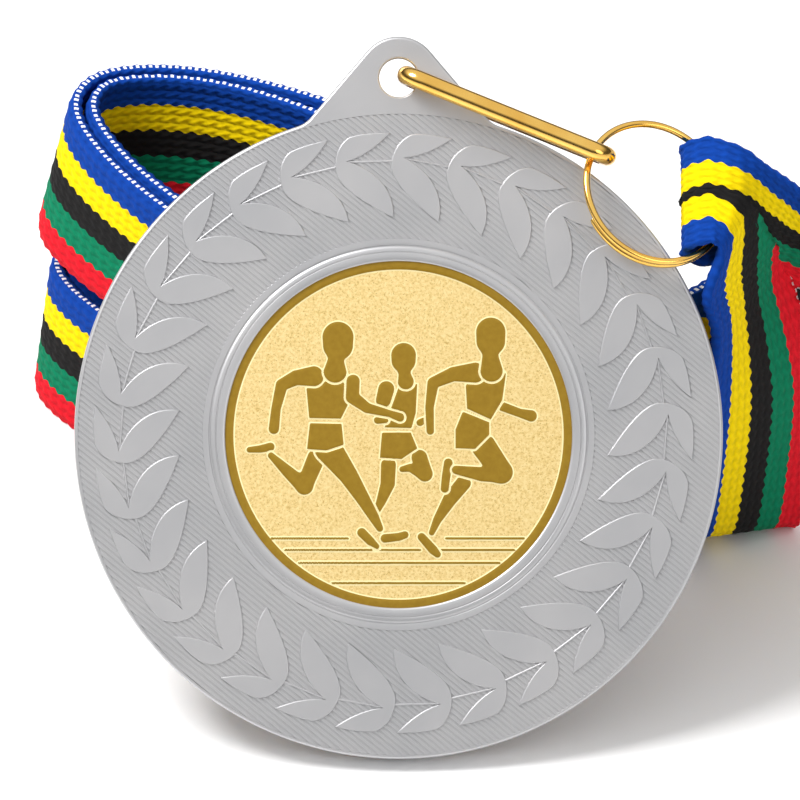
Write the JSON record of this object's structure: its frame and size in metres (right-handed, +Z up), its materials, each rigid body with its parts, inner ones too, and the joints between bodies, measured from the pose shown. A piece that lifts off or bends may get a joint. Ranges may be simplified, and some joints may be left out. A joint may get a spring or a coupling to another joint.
{
  "type": "finisher medal",
  "caption": "Round sports medal with laurel border and runner emblem, hung by a wire link and a split ring from a coiled striped neck ribbon.",
  "frame": {"origin": "centre of the footprint on the table, at table height", "axes": "+X to the right along the longest extent, +Y away from the viewer, +Z up; the medal's face looks along -Y and leans back 35 degrees"},
  "size_m": [0.068, 0.052, 0.0421],
  "materials": {
    "medal_plating": "satin silver plating over a die-cast alloy",
    "adhesive_pad": "soft double-sided adhesive",
    "emblem_gold": "granular pale gold print",
    "link_gold": "bright gold-coloured plating",
    "ring_wire": "bright gold-coloured plating",
    "woven_ribbon": "ribbed weave in five stripes",
    "sewing_thread": "dark polyester thread"
  },
  "bodies": {
    "ribbon": {"neck_ribbon": "woven_ribbon", "hem_stitching": "sewing_thread"},
    "ring": {"split_ring": "ring_wire"},
    "link": {"tab_link": "link_gold"},
    "medal": {"medal_body": "medal_plating", "emblem_adhesive": "adhesive_pad", "emblem_disc": "emblem_gold"}
  },
  "joints": [
    {"name": "ring_swing", "type": "hinge", "parent": "ribbon", "child": "ring", "pos_m": [0.01414, -0.00253, 0.0319], "axis": [0, 0.8406, 0.5416], "range_deg": [0, 35]},
    {"name": "link_swing", "type": "hinge", "parent": "ring", "child": "link", "pos_m": [0.00676, -0.00162, 0.03506], "axis": [0, 0.8192, -0.5736], "range_deg": [0, 30]},
    {"name": "medal_swing", "type": "hinge", "parent": "link", "child": "medal", "pos_m": [-0.00715, 0.00161, 0.03967], "axis": [0, 0.8192, -0.5736], "range_deg": [0, 200]}
  ]
}
